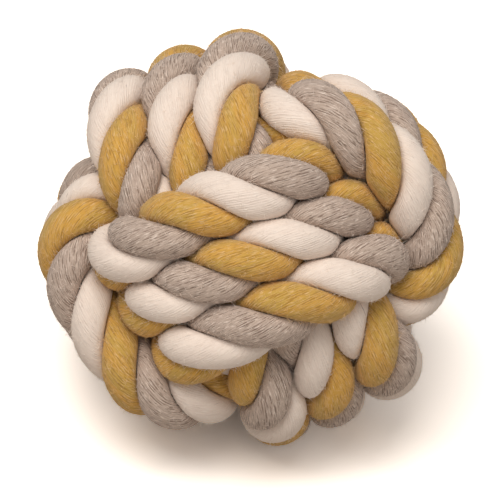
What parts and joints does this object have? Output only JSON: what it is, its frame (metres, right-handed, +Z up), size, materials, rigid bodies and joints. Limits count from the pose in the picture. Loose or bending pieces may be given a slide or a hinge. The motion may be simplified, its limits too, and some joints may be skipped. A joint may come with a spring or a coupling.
{
  "type": "rope ball dog toy",
  "caption": "Round dog toy knotted as a monkey's fist from thick laid cotton rope with mustard, white and heather grey strands, for throwing, fetching and chewing.",
  "frame": {"origin": "on the floor under the middle of the ball's box", "axes": "+Z up, -Y towards the viewer of the picture, +X to that viewer's right; the ball lies the way it does in the picture"},
  "size_m": [0.12, 0.1198, 0.118],
  "materials": {
    "mustard_cotton": "matte twisted cotton yarn with olive and orange flecks",
    "white_cotton": "matte twisted cotton yarn, warm off-white",
    "grey_cotton": "matte twisted cotton yarn, heather grey",
    "whipping_twine": "matte cotton twine"
  },
  "bodies": {
    "root": {"mustard_strand": "mustard_cotton", "white_strand": "white_cotton", "grey_strand": "grey_cotton", "start_whipping": "whipping_twine", "end_whipping": "whipping_twine"}
  },
  "joints": []
}
